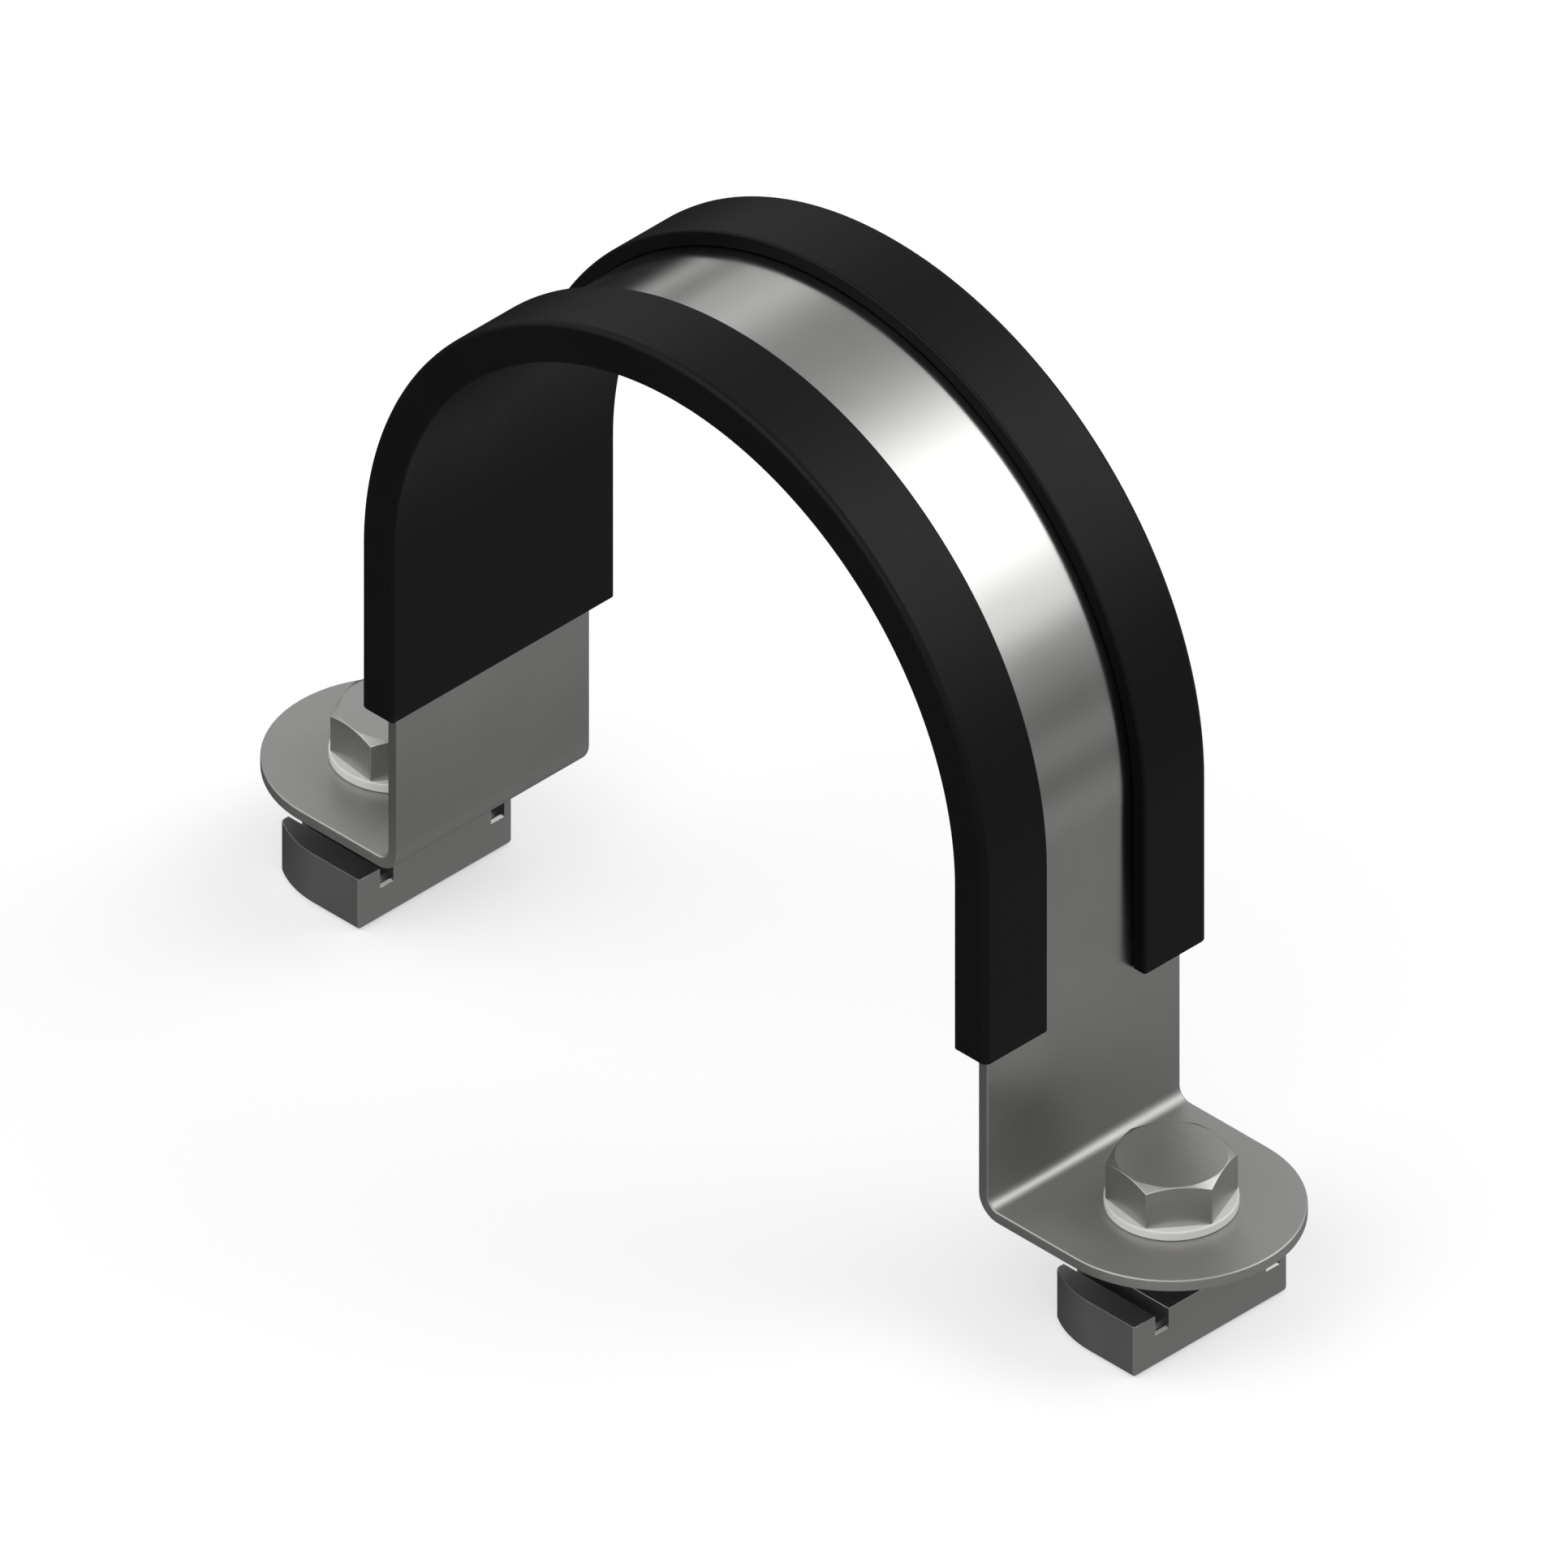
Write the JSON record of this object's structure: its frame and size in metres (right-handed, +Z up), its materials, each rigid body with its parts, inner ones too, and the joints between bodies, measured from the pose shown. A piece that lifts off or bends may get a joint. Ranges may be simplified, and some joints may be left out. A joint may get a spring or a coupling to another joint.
{
  "type": "saddle clamp",
  "caption": "Rubber-lined saddle clamp that holds a large tube down on a slotted rail, with a bolt, a washer and a twist-in nut at each foot.",
  "frame": {"origin": "middle of the bore: on the clamped tube's axis, halfway along the lining's width; the feet's undersides, which seat on the rail, are 59 mm below it", "axes": "+X along the rail from foot to foot, +Y along the clamped tube's axis, +Z up, away from the rail"},
  "size_m": [0.2008, 0.046, 0.1403],
  "materials": {
    "strap_steel": "zinc-plated steel strip, satin with soft bands of reflection",
    "lining_rubber": "black rubber, satin, with rounded outer edges",
    "bolt_steel": "zinc-plated steel, satin grey",
    "washer_steel": "bright zinc-plated steel",
    "nut_steel": "zinc-plated steel, satin grey"
  },
  "bodies": {
    "root": {"strap": "strap_steel", "lining": "lining_rubber", "bolt_left": "bolt_steel", "bolt_right": "bolt_steel", "washer_left": "washer_steel", "washer_right": "washer_steel", "slot_nut_left": "nut_steel", "slot_nut_right": "nut_steel"}
  },
  "joints": []
}
